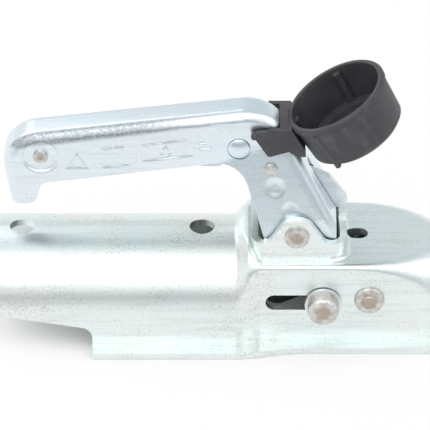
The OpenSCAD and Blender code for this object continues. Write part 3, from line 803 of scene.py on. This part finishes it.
def cut_grid(bm: bmesh.types.BMesh, low: tuple[float, float], high: tuple[float, float], pitch: float,
             wanted: Callable[[bmesh.types.BMFace], bool]) -> None:
    """Cuts side faces into a fine grid inside a rectangle of the side view.

    Args:
        bm: Mesh to change.
        low: Least X and Z in millimetres.
        high: Greatest X and Z in millimetres.
        pitch: Pitch of the grid in millimetres.
        wanted: Says whether a face is one of those to cut.
    """
    pool = [f for f in bm.faces if wanted(f) and touches(f, low, high)]
    for axis, (a, b) in enumerate(zip(low, high)):
        normal = (1, 0, 0) if axis == 0 else (0, 0, 1)
        for k in range(int((b - a) / pitch) + 1):
            at = (a + k * pitch) * MM
            faces = [f for f in pool if spans(f, 0 if axis == 0 else 2, at)]
            geom = faces + [e for f in faces for e in f.edges] + [v for f in faces for v in f.verts]
            point = (at, 0, 0) if axis == 0 else (0, 0, at)
            result = bmesh.ops.bisect_plane(bm, geom=list(dict.fromkeys(geom)), dist=CUT_DISTANCE, plane_co=point,
                                            plane_no=normal)
            cut = [f for f in result["geom"] if isinstance(f, bmesh.types.BMFace) and touches(f, low, high)]
            pool = list(dict.fromkeys([f for f in pool if f.is_valid] + cut))


def spans(face: bmesh.types.BMFace, axis: int, at: float) -> bool:
    """True if a face lies on both sides of a plane across an axis."""
    places = [v.co[axis] for v in face.verts]
    return min(places) < at < max(places)


def touches(face: bmesh.types.BMFace, low: tuple[float, float], high: tuple[float, float]) -> bool:
    """Tells whether a face's box meets a rectangle of the side view.

    Args:
        face: Face to test.
        low: Least X and Z in millimetres.
        high: Greatest X and Z in millimetres.

    Returns:
        True if they meet.
    """
    xs = [v.co.x / MM for v in face.verts]
    zs = [v.co.z / MM for v in face.verts]
    return min(xs) < high[0] and max(xs) > low[0] and min(zs) < high[1] and max(zs) > low[1]


def press(bm: bmesh.types.BMesh, marks: list[PressMark], wanted: Callable[[bmesh.types.BMFace], bool],
          pitch: float) -> None:
    """Presses shapes into the side faces of a sheet.

    Args:
        bm: Mesh to change.
        marks: Shapes to press.
        wanted: Says whether a face is one of those to press.
        pitch: Pitch of the grid that carries the shapes, in millimetres.
    """
    for mark in marks:
        cut_grid(bm, *mark.box(), pitch, wanted)
    bm.normal_update()
    moves = {}
    for face in bm.faces:
        if wanted(face):
            for vert in face.verts:
                depth = sum(mark.depth_at(vert.co.x / MM, vert.co.z / MM) for mark in marks)
                if abs(depth) > 0.001:
                    moves[vert] = -face.normal * depth * MM
    for vert, move in moves.items():
        vert.co += move


@dataclass(frozen=True)
class UpsetEnd:
    """Dents that the riveting tool leaves in a pin's end, in millimetres."""

    x: float
    z: float
    radius: float
    ring: float
    groove: float = 0.35
    dimple: float = 0.5
    gap_turn: float = 0.0
    gap_width: float = 0.0
    gap_fade: float = 14.0
    groove_width: float = 1.0
    dimple_share: float = 0.34

    def depth_at(self, x: float, z: float) -> float:
        """Depth of the dents at a place of the side view.

        Args:
            x: Place along X in millimetres.
            z: Place along Z in millimetres.

        Returns:
            The depth in millimetres.
        """
        u, v = x - self.x, z - self.z
        r = math.hypot(u, v)
        turn = math.degrees(math.atan2(v, u)) - self.gap_turn
        away = abs((turn + 180.0) % 360.0 - 180.0)
        closed = smooth_step((away - self.gap_width) / self.gap_fade) if self.gap_width else 1.0
        groove = self.groove * closed * (1.0 - smooth_step(abs(r - self.ring) / self.groove_width))
        return groove + self.dimple * (1.0 - smooth_step(r / (self.radius * self.dimple_share)))


UPSETS = {
    "handle_pin": UpsetEnd(-72.0, 43.4, 6.15, 4.2, groove=0.25, dimple=0.35),
    "jaw_pin": UpsetEnd(-35.6, 8.9, 7.5, 3.9, groove=0.9, dimple=0.0, gap_turn=20.0, gap_width=50.0),
    "slide_pin": UpsetEnd(-58.7, 7.1, 7.75, 4.8, groove=0.3, dimple=0.3),
    "grip_rivet": UpsetEnd(-198.0, 81.5, 3.65, 2.2, groove=0.0, dimple=0.25),
}


def upset_ends(bm: bmesh.types.BMesh, dents: UpsetEnd) -> None:
    """Dents both ends of a pin that lies across the part.

    Args:
        bm: Mesh to change.
        dents: Dents of one end.
    """
    def is_end(face: bmesh.types.BMFace) -> bool:
        """True for a face of one of the pin's ends."""
        return abs(face.normal.y) > 0.8 and face.calc_center_bounds().y * face.normal.y > 0

    reach = dents.radius + 0.2
    cut_grid(bm, (dents.x - reach, dents.z - reach), (dents.x + reach, dents.z + reach), dents.radius / 12, is_end)
    bm.normal_update()
    for vert in {v for f in bm.faces if is_end(f) for v in f.verts}:
        depth = dents.depth_at(vert.co.x / MM, vert.co.z / MM)
        vert.co.y -= math.copysign(depth * MM, vert.co.y)


def dressed_part(node: str, body: Body, material: bpy.types.Material, width: float) -> bpy.types.Object:
    """Makes a small part of its CAD node, with softened edges and, on a riveted pin, dented ends.

    Args:
        node: Name of the CAD node.
        body: Body that the part rides on.
        material: Its material.
        width: Greatest width of the rounding in millimetres.

    Returns:
        The part.
    """
    bm = merged_copy(node)
    soften(bm, width, angle=40.0)
    if node in UPSETS:
        upset_ends(bm, UPSETS[node])
    return finish_piece(bm, node + "_dressed", body, material, node)


@dataclass(frozen=True)
class Finishes:
    """Finished materials of the part."""

    housing: bpy.types.Material
    handle: bpy.types.Material
    lever: bpy.types.Material
    washer: bpy.types.Material
    raw: bpy.types.Material
    spring: bpy.types.Material
    casting: bpy.types.Material
    plastic: bpy.types.Material


def make_finishes() -> Finishes:
    """Builds the shared shader groups and the materials.

    Returns:
        The materials.
    """
    groups = Groups(grain=plating_grain(), wear=edge_wear())
    # Painted shade along the rounded fold of the grip.
    grip_fold_shade = FoldShadeBand(x=-0.160, z=0.0966, slope=0.142, half_height=0.0048, inner=0.0052, fade_from=-0.150,
                         fade_to=-0.108)
    return Finishes(
        housing=ZincFinish("zinc_plate_housing", (0.85, 0.92, 0.92), (0.50, 0.55, 0.56), warm=(0.90, 0.91, 0.83),
                           roughness=0.30, speckle=0.55).build(groups),
        handle=ZincFinish("zinc_plate_handle", (0.80, 0.89, 0.94), (0.56, 0.62, 0.66), warm=(0.85, 0.87, 0.89),
                          roughness=0.26, speckle=0.35, offset=(0.3, 0.1, 0.0), fold_shade=grip_fold_shade).build(groups),
        lever=ZincFinish("zinc_plate_lever", (0.70, 0.76, 0.80), (0.40, 0.44, 0.48), warm=(0.74, 0.74, 0.72),
                         roughness=0.28, speckle=0.4, offset=(0.7, 0.0, 0.2)).build(groups),
        washer=ZincFinish("zinc_plate_washer", (0.78, 0.80, 0.80), (0.46, 0.48, 0.48),
                          roughness=0.3, speckle=0.3, offset=(0.1, 0.5, 0.2)).build(groups),
        raw=SteelFinish("upset_raw_steel", (0.74, 0.73, 0.71), (0.56, 0.53, 0.50), roughness=0.34,
                        spots=tuple((end.x, end.z, end.radius * 0.62) for end in UPSETS.values())).build(groups),
        spring=SteelFinish("oiled_spring_wire", (0.35, 0.35, 0.36), (0.2, 0.2, 0.21), roughness=0.3).build(groups),
        casting=SteelFinish("phosphated_casting", (0.2, 0.2, 0.21), (0.12, 0.12, 0.13), roughness=0.5,
                            metallic=0.9, scale=500.0, height=0.15).build(groups),
        plastic=PlasticFinish("grained_black_plastic", (0.046, 0.047, 0.052), (0.10, 0.10, 0.11)).build(groups),
    )


@dataclass
class HousingAssembly:
    """Pressed housing with its fixed pins and spacers."""

    edge_round: float = 0.7
    pin_round: float = 0.5
    spacer_round: float = 0.3

    def build(self, finishes: Finishes) -> list[bpy.types.Object]:
        """Builds and dresses the pieces.

        Args:
            finishes: Materials of the part.

        Returns:
            The pieces.
        """
        return [self.shell(finishes), self.pin("handle_pin", finishes), self.pin("jaw_pin", finishes),
                self.spacers(finishes), self.springs(finishes)]

    def shell(self, finishes: Finishes) -> bpy.types.Object:
        """Makes the pressed shell.

        Args:
            finishes: Materials of the part.

        Returns:
            The shell.
        """
        bm = merged_copy("housing")
        soften(bm, self.edge_round, angle=30.0)
        return finish_piece(bm, "housing_shell", Body.HOUSING, finishes.housing, "housing", 30.0)

    def pin(self, node: str, finishes: Finishes) -> bpy.types.Object:
        """Makes a pin with upset ends.

        Args:
            node: Name of the pin's CAD node.
            finishes: Materials of the part.

        Returns:
            The pin.
        """
        bm = merged_copy(node)
        soften(bm, self.pin_round, angle=40.0, segments=3)
        upset_ends(bm, UPSETS[node])
        return finish_piece(bm, node + "_upset", Body.HOUSING, finishes.raw, node)

    def spacers(self, finishes: Finishes) -> bpy.types.Object:
        """Makes the spacers on the jaw pin.

        Args:
            finishes: Materials of the part.

        Returns:
            The spacers.
        """
        bm = merged_copy("jaw_spacers")
        soften(bm, self.spacer_round, segments=1)
        return finish_piece(bm, "jaw_spacer_tubes", Body.HOUSING, finishes.raw, "jaw_spacers")

    def springs(self, finishes: Finishes) -> bpy.types.Object:
        """Makes the pull springs between the jaw pin and the slide pin.

        Args:
            finishes: Materials of the part.

        Returns:
            The springs, blended between their two ends.
        """
        bm = merged_copy("pull_springs")
        coils = finish_piece(bm, "pull_spring_coils", None, finishes.spring, "pull_springs", 70.0)
        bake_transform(coils)
        return coils


@dataclass
class HandleAssembly:
    """Channel handle with its rivets, drive arms and spring."""

    edge_round: float = 0.6
    plate_inner: float = 6.0
    squeezed: float = 0.48
    plate_low: tuple[float, float] = (-222.0, 46.0)
    plate_high: tuple[float, float] = (-66.0, 104.0)
    plate_pitch: float = 2.5
    mark_pitch: float = 0.42
    rivet_round: float = 0.5
    arm_round: float = 0.4
    thin_round: float = 0.2
    marks: list[PressMark] = field(default_factory=lambda: [
        PressMark(MarkShape.DISC, -198.0, 81.5, 17.4, 1.1, soft=1.9),
        PressMark(MarkShape.TRIANGLE, -180.2, 79.4, 10.4, 0.42),
        PressMark(MarkShape.FRAME, -161.9, 81.8, 11.8, 0.42, height=10.8, turn=7.0),
        PressMark(MarkShape.PANEL, -136.6, 85.6, 23.0, 0.4, height=9.4, turn=8.0),
        PressMark(MarkShape.DROP, -136.6, 84.9, 4.4, 0.4),
        PressMark(MarkShape.BAR, -117.6, 89.9, 5.0, 0.4, turn=8.0),
        PressMark(MarkShape.BAR, -117.2, 86.7, 5.0, 0.4, turn=8.0),
        PressMark(MarkShape.DISC, -83.0, 66.3, 7.5, 0.75, soft=4.5),
        PressMark(MarkShape.DISC, -75.5, 54.6, 6.0, 0.7, soft=4.0),
    ])

    def build(self, finishes: Finishes) -> list[bpy.types.Object]:
        """Builds and dresses the pieces.

        Args:
            finishes: Materials of the part.

        Returns:
            The pieces.
        """
        pieces = [self.channel(finishes)]
        for node, slot, material, width in (
                ("cross_rivet", Slot.HANDLE, finishes.handle, self.rivet_round),
                ("grip_rivet", Slot.RAW, finishes.raw, self.rivet_round),
                ("safety_pin", Slot.RAW, finishes.raw, self.thin_round),
                ("lever_spacers", Slot.RAW, finishes.raw, self.thin_round),
                ("drive_arms", Slot.RAW, finishes.raw, self.arm_round)):
            pieces.append(dressed_part(node, Body.HANDLE, material, width))
        return pieces + [self.spring(finishes)]

    def spring(self, finishes: Finishes) -> bpy.types.Object:
        """Makes the safety lever's spring, in one fixed shape on the handle.

        Args:
            finishes: Materials of the part.

        Returns:
            The spring.
        """
        bm = merged_copy("safety_spring")
        coil = finish_piece(bm, "safety_spring_coil", Body.HANDLE, finishes.spring, "safety_spring",
                            70.0)
        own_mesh(coil)
        return coil

    def channel(self, finishes: Finishes) -> bpy.types.Object:
        """Makes the pressed channel with its recess and marks.

        Args:
            finishes: Materials of the part.

        Returns:
            The channel.
        """
        bm = merged_copy("handle")
        soften(bm, self.edge_round, angle=30.0)
        cut_grid(bm, self.plate_low, self.plate_high, self.plate_pitch, self.on_plate)
        press(bm, self.marks, self.on_plate, self.mark_pitch)
        return finish_piece(bm, "handle_channel", Body.HANDLE, finishes.handle, "handle", 30.0)

    def on_plate(self, face: bmesh.types.BMFace) -> bool:
        """True for an outer face of a side plate of the grip."""
        middle = face.calc_center_bounds()
        return abs(face.normal.y) > 0.97 and middle.y * face.normal.y > 0 and abs(middle.y) > self.plate_inner * MM


@dataclass
class SafetyLeverAssembly:
    """Safety lever under the grip."""

    edge_round: float = 0.5

    def build(self, finishes: Finishes) -> list[bpy.types.Object]:
        """Builds and dresses the lever.

        Args:
            finishes: Materials of the part.

        Returns:
            The lever, as the only piece of a list.
        """
        bm = merged_copy("safety_lever")
        soften(bm, self.edge_round, angle=35.0)
        return [finish_piece(bm, "safety_lever_plate", Body.LEVER, finishes.lever, "safety_lever")]


@dataclass(frozen=True)
class CupRib:
    """Half sunk round rib along the cup's wall, with its heights below the rim, in millimetres and degrees."""

    turn: float
    inset: float
    radius: float
    low: float
    high: float
    foot_round: float = 0.4
    top_round: float = 0.5

    def profile(self) -> list[tuple[float, float]]:
        """Outline that is spun into the rib.

        Returns:
            Points of radius and height in millimetres.
        """
        return [(0.0, self.low), (self.radius - self.foot_round, self.low), (self.radius, self.low + self.foot_round),
                (self.radius, self.high - self.top_round), (self.radius - self.top_round, self.high),
                (0.0, self.high)]


@dataclass
class PlugHolder:
    """Cup and clip for the trailer plug, with sizes in millimetres."""

    edge_round: float = 0.5
    rim_edge: tuple[float, float, float] = (-77.4, 0.0, 98.4)
    lean: float = 29.2
    radius: float = 26.5
    draft: float = 5.3
    floor_top: float = -18.9
    floor_foot: float = -23.5
    floor_inset: float = 4.8
    step_width: float = 4.6
    step_height: float = 2.2
    key_rib: CupRib = CupRib(turn=89.0, inset=3.5, radius=2.3, low=-19.9, high=-1.8)
    outer_rib: CupRib = CupRib(turn=-121.0, inset=0.9, radius=1.5, low=-26.2, high=-3.6)
    clip_front: float = -88.0
    bead: tuple[float, float] = (-93.4, 95.6)
    bead_radius: float = 1.6
    bead_sunk: float = 2.4
    bead_proud: float = 0.7
    bead_round: float = 0.4

    def build(self, finishes: Finishes) -> list[bpy.types.Object]:
        """Builds and dresses the holder and its small ribs.

        Args:
            finishes: Materials of the part.

        Returns:
            The pieces.
        """
        bm = merged_copy("plug_holder")
        clip_half = max(abs(v.co.y) for v in bm.verts if v.co.x < self.clip_front * MM) / MM
        soften(bm, self.edge_round, angle=25.0)
        ribs = {
            "cup_key_rib": self.rib(self.key_rib),
            "cup_outer_rib": self.rib(self.outer_rib),
            "cup_floor_ring": self.floor_ring(),
            "clip_bead_near": self.clip_bead(clip_half, -1),
            "clip_bead_far": self.clip_bead(clip_half, 1),
        }
        pieces = [finish_piece(bm, "plug_cup", Body.HANDLE, finishes.plastic, "plug_holder", 30.0)]
        for name, rib in ribs.items():
            pieces.append(finish_piece(rib, name, Body.HANDLE, finishes.plastic, angle=30.0))
        return pieces

    def cup_place(self) -> Matrix:
        """Placement of the cup's rim, with its Z axis out of the cup."""
        turn = Matrix.Rotation(math.radians(-self.lean), 4, "Y")
        return Matrix.Translation(self.rim_edge) @ turn @ Matrix.Translation((self.radius, 0.0, 0.0))

    def rib(self, rib: CupRib) -> bmesh.types.BMesh:
        """Makes a rib along the cup's wall.

        Args:
            rib: Place and sizes of the rib.

        Returns:
            The rib.
        """
        place = self.cup_place() @ Matrix.Rotation(math.radians(rib.turn), 4, "Z")
        place = place @ Matrix.Translation((self.radius - rib.inset, 0.0, 0.0))
        return spun(rib.profile(), place @ Matrix.Rotation(math.radians(self.draft), 4, "Y"), steps=28)

    def floor_ring(self) -> bmesh.types.BMesh:
        """Makes the step round the cup's floor.

        Returns:
            The step.
        """
        outer = self.radius - self.floor_inset
        inner = outer - self.step_width
        top, foot, low = self.floor_top, self.floor_foot, self.floor_top - self.step_height
        profile = [(0.0, foot), (outer, foot), (outer + 0.2, top), (inner, top), (inner - 0.6, top - 0.3),
                   (inner - 1.2, low), (0.0, low)]
        return spun(profile, self.cup_place(), steps=72)

    def clip_bead(self, clip_half: float, side: int) -> bmesh.types.BMesh:
        """Makes the round bead at the free end of a clip arm.

        Args:
            clip_half: Half of the clip's width at that end.
            side: -1 for the near arm and 1 for the far arm.

        Returns:
            The bead.
        """
        radius, proud, rounding = self.bead_radius, self.bead_proud, self.bead_round
        profile = [(0.0, -self.bead_sunk), (radius, -self.bead_sunk), (radius, proud - rounding),
                   (radius - rounding, proud), (0.0, proud)]
        return spun(profile, across_place(self.bead[0], clip_half, self.bead[1], side), steps=24)


@dataclass
class ClampAssembly:
    """Slide pin with its washers, and the jaw under the ball."""

    head_round: float = 0.6
    washer_round: float = 0.3
    jaw_round: float = 0.8

    def build(self, finishes: Finishes) -> list[bpy.types.Object]:
        """Builds and dresses the pieces.

        Args:
            finishes: Materials of the part.

        Returns:
            The pieces.
        """
        return [
            dressed_part("slide_pin", Body.SLIDE, finishes.raw, self.head_round),
            dressed_part("slide_washers", Body.SLIDE, finishes.washer, self.washer_round),
            dressed_part("jaw", Body.JAW, finishes.casting, self.jaw_round),
        ]


def flat_sheet(name: str, size: tuple[float, float], material: bpy.types.Material) -> bpy.types.Object:
    """Makes a level rectangle for the studio.

    Args:
        name: Name of the sheet.
        size: Its sides in metres.
        material: Its material.

    Returns:
        The sheet, with its middle at the origin.
    """
    bm = bmesh.new()
    bmesh.ops.create_grid(bm, x_segments=1, y_segments=1, size=0.5)
    bmesh.ops.scale(bm, vec=(size[0], size[1], 1.0), verts=bm.verts)
    mesh = bpy.data.meshes.new(name)
    bm.to_mesh(mesh)
    bm.free()
    mesh.materials.append(material)
    return add_object(name, mesh)


@dataclass(frozen=True)
class SoftLamp:
    """Square lamp that points at the part, with its place and side in metres and its power in watts."""

    name: str
    place: tuple[float, float, float]
    side: float
    power: float

    def hang(self, target: Vector) -> None:
        """Adds the lamp to the scene.

        Args:
            target: Place that the lamp points at, in metres.
        """
        data = bpy.data.lights.new(self.name, "AREA")
        data.shape = "SQUARE"
        data.size = self.side
        data.energy = self.power
        lamp = add_object(self.name, data)
        lamp.location = self.place
        lamp.rotation_euler = (target - Vector(self.place)).to_track_quat("-Z", "Y").to_euler()


@dataclass(frozen=True)
class GreyCard:
    """Card that only the metal's gloss shows, with its middle and sides in metres and its turn in degrees."""

    name: str
    middle: tuple[float, float, float]
    size: tuple[float, float]
    turn: tuple[float, float, float]
    tone: float
    tint: tuple[float, float, float] = (0.95, 1.02, 1.05)

    def set_up(self) -> None:
        """Adds the card to the scene."""
        material = bpy.data.materials.new(self.name)
        material.use_nodes = True
        tree = material.node_tree
        colour = (*(self.tone * share for share in self.tint), 1.0)
        glow = add_node(tree, "ShaderNodeEmission", Color=colour, Strength=1.0)
        tree.links.new(glow.outputs[0], tree.nodes["Material Output"].inputs["Surface"])
        card = flat_sheet(self.name, self.size, material)
        card.location = self.middle
        card.rotation_euler = [math.radians(t) for t in self.turn]
        card.visible_camera = False
        card.visible_diffuse = False
        card.visible_shadow = False
        card.visible_transmission = False


@dataclass
class Studio:
    """Camera, lamps, grey cards, floor and world, in metres and degrees."""

    azimuth: float = 0.0
    elevation: float = 35.0
    distance: float = 1.6
    view_width: float = 0.215
    target: tuple[float, float, float] = (-0.1125, 0.0, 0.0401)
    floor_z: float = -0.0202
    floor_side: float = 6.0
    floor_tone: float = 0.9
    floor_roughness: float = 0.9
    floor_glow: float = 1.03
    glow_share: float = 0.86
    shadow_reach: float = 0.09
    shadow_range: tuple[float, float] = (0.12, 0.78)
    sky: float = 0.62
    lens_sensor: float = 36.0
    lamps: list[SoftLamp] = field(default_factory=lambda: [
        SoftLamp("key_lamp", (-0.35, -0.75, 1.05), 0.9, 3.6),
        SoftLamp("fill_lamp", (0.75, -0.35, 0.75), 0.7, 1.8),
        SoftLamp("back_lamp", (-0.6, 0.55, 0.8), 0.6, 1.6),
    ])
    cards: list[GreyCard] = field(default_factory=lambda: [
        GreyCard("front_floor_card", (-0.11, -0.8, -0.015), (3.0, 1.0), (0.0, 0.0, 0.0), 0.70),
        GreyCard("front_wall_card", (-0.11, -1.35, 0.12), (3.0, 0.34), (90.0, 0.0, 0.0), 0.24),
        GreyCard("left_wall_card", (-0.43, -0.95, 0.05), (0.5, 0.16), (90.0, 0.0, 0.0), 0.05),
        GreyCard("rear_card", (-0.11, 0.95, 0.85), (3.0, 1.3), (135.0, 0.0, 0.0), 0.70),
        GreyCard("top_card", (-0.11, 0.22, 1.3), (2.4, 0.5), (0.0, 0.0, 0.0), 0.55),
        GreyCard("right_card", (1.2, -0.1, 0.3), (0.9, 1.6), (0.0, 90.0, 0.0), 0.55),
    ])

    def build(self) -> None:
        """Builds the studio round the part."""
        self.camera()
        self.world()
        self.floor()
        for lamp in self.lamps:
            lamp.hang(Vector(self.target))
        for card in self.cards:
            card.set_up()
        bpy.context.scene.view_settings.view_transform = "Standard"

    def camera(self) -> None:
        """Places the camera at the photo's angle, with a long lens."""
        data = bpy.data.cameras.new("photo_camera")
        data.sensor_width = self.lens_sensor
        data.lens = self.lens_sensor * self.distance / self.view_width
        data.clip_end = 20.0
        camera = add_object("photo_camera", data)
        rise, turn = math.radians(self.elevation), math.radians(self.azimuth)
        away = Vector((math.sin(turn) * math.cos(rise), -math.cos(turn) * math.cos(rise), math.sin(rise)))
        camera.location = Vector(self.target) + away * self.distance
        camera.rotation_euler = (math.pi / 2 - rise, 0.0, turn)
        bpy.context.scene.camera = camera

    def world(self) -> None:
        """Makes a soft sky that the camera, metal and glass see as white."""
        world = bpy.data.worlds.new("studio")
        bpy.context.scene.world = world
        world.use_nodes = True
        tree = world.node_tree
        background = tree.nodes["Background"]
        background.inputs["Color"].default_value = WHITE
        strength = math_node(tree, "ADD", self.sky, math_node(tree, "MULTIPLY", seen_rays(tree), 1.0 - self.sky))
        tree.links.new(strength, background.inputs["Strength"])

    def floor(self) -> None:
        """Lays a pale floor that keeps a soft shadow."""
        material = bpy.data.materials.new("pale_floor")
        material.use_nodes = True
        tree = material.node_tree
        shader = tree.nodes["Principled BSDF"]
        shader.inputs["Base Color"].default_value = (self.floor_tone, self.floor_tone, self.floor_tone, 1.0)
        shader.inputs["Roughness"].default_value = self.floor_roughness
        glow = add_node(tree, "ShaderNodeEmission", Color=WHITE, Strength=self.floor_glow)
        hidden = add_node(tree, "ShaderNodeAmbientOcclusion", samples=12, Distance=self.shadow_reach)
        open_sky = map_range(tree, hidden.outputs["AO"], *self.shadow_range)
        share = math_node(tree, "MULTIPLY", math_node(tree, "MULTIPLY", seen_rays(tree), open_sky), self.glow_share)
        mix = tree.nodes.new("ShaderNodeMixShader")
        tree.links.new(share, mix.inputs[0])
        tree.links.new(shader.outputs[0], mix.inputs[1])
        tree.links.new(glow.outputs[0], mix.inputs[2])
        tree.links.new(mix.outputs[0], tree.nodes["Material Output"].inputs["Surface"])
        floor = flat_sheet("floor", (self.floor_side, self.floor_side), material)
        floor.location.z = self.floor_z


def main() -> None:
    """Builds the sub-assemblies in order and reports their pieces."""
    logging.basicConfig(level=logging.INFO, format="%(message)s")
    finishes = make_finishes()
    for assembly in (HousingAssembly(), HandleAssembly(), SafetyLeverAssembly(), PlugHolder(), ClampAssembly()):
        pieces = assembly.build(finishes)
        LOG.info("%s: %d pieces", type(assembly).__name__, len(pieces))
    Studio().build()


if __name__ == "__main__":
    main()
